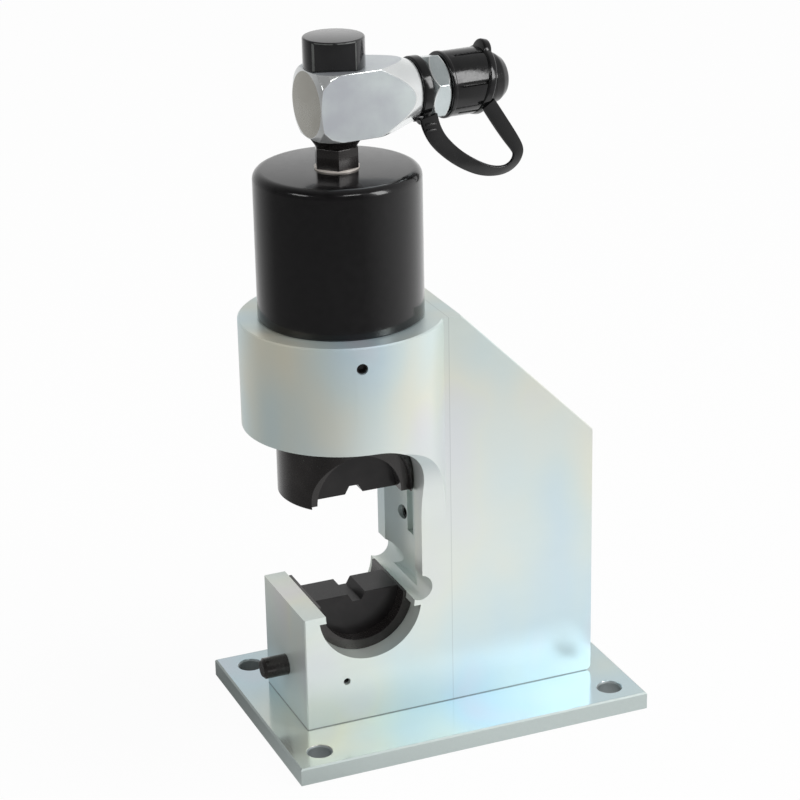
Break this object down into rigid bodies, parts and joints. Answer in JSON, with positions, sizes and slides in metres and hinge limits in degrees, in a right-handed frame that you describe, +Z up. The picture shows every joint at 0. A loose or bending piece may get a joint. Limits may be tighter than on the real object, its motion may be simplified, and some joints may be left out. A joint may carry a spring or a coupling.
{
  "type": "hydraulic cable crimping tool",
  "caption": "Bench-mounted hydraulic cable crimping press: C-frame on a bolted base plate, black cylinder with ram and half-moon dies, swivel hose coupling with dust cap.",
  "frame": {"origin": "centre of the base plate's underside", "axes": "+X along the base plate from the jaw to the rear block, -Y the front with the die holder's flange, +Z up along the ram"},
  "size_m": [0.21, 0.142, 0.3919],
  "materials": {
    "zinc_steel": "bright zinc plate",
    "black_enamel": "gloss",
    "black_oxide": "satin oxide",
    "bright_steel": "turned and satin",
    "spring_steel": "bright",
    "black_rubber": "moulded gloss",
    "seal": "smooth"
  },
  "bodies": {
    "frame": {"base_plate": "zinc_steel", "c_frame": "zinc_steel", "rear_block": "zinc_steel", "cylinder": "black_enamel", "rod_wiper": "seal", "cylinder_lock_screw": "black_oxide", "frame_screws": "black_oxide", "dowel_pins": "bright_steel", "tie_screws": "black_oxide", "die_holder": "black_oxide", "lower_die": "black_oxide", "cross_pin": "black_oxide", "spring_rod": "bright_steel", "spring_washer": "bright_steel", "return_spring": "spring_steel", "release_spring": "spring_steel", "bonded_seal": "bright_steel", "swivel_stem": "black_oxide", "stem_o_rings": "seal", "stem_cap_nut": "black_oxide"},
    "ram": {"ram": "black_oxide", "upper_die": "black_oxide", "upper_holder": "black_oxide", "piston_seal": "seal", "guide_ring": "seal", "ram_key": "black_oxide", "key_screw": "black_oxide", "spring_retainer": "bright_steel", "detent_ball": "bright_steel", "detent_spring": "spring_steel"},
    "release": {"release_pin": "black_oxide"},
    "lock": {"lock_pin": "black_oxide"},
    "swivel": {"swivel_tee": "bright_steel", "coupler_body": "bright_steel", "tether_ring": "black_rubber", "cap_strap": "black_rubber", "valve_spring": "spring_steel"},
    "valve": {"valve_poppet": "bright_steel"},
    "cap": {"dust_cap": "black_rubber"}
  },
  "joints": [
    {"name": "ram_stroke", "type": "slide", "parent": "frame", "child": "ram", "axis": [0, 0, -1], "range_m": [0, 0.0607], "stiffness_N_per_m": 2000, "springref_m": -0.05, "deforming": ["return_spring"]},
    {"name": "release_push", "type": "slide", "parent": "frame", "child": "release", "axis": [1, 0, 0], "range_m": [0, 0.005], "stiffness_N_per_m": 1500, "springref_m": -0.003, "deforming": ["release_spring"]},
    {"name": "lock_drop", "type": "slide", "parent": "frame", "child": "lock", "axis": [0, 0, -1], "range_m": [0, 0.003]},
    {"name": "swivel_turn", "type": "hinge", "parent": "frame", "child": "swivel", "pos_m": [-0.047, 0, 0.3574], "axis": [0, 0, 1], "continuous": true},
    {"name": "valve_open", "type": "slide", "parent": "swivel", "child": "valve", "axis": [-0.9976, -0.0698, 0], "range_m": [0, 0.0035], "stiffness_N_per_m": 800, "springref_m": -0.003, "deforming": ["valve_spring"]},
    {"name": "cap_pull", "type": "slide", "parent": "swivel", "child": "cap", "axis": [0.9976, 0.0698, 0], "range_m": [0, 0.03], "deforming": ["cap_strap"]}
  ],
  "couplings": [
    {"joint": "lock_drop", "follows": "release_push", "ratio": 0.6}
  ]
}
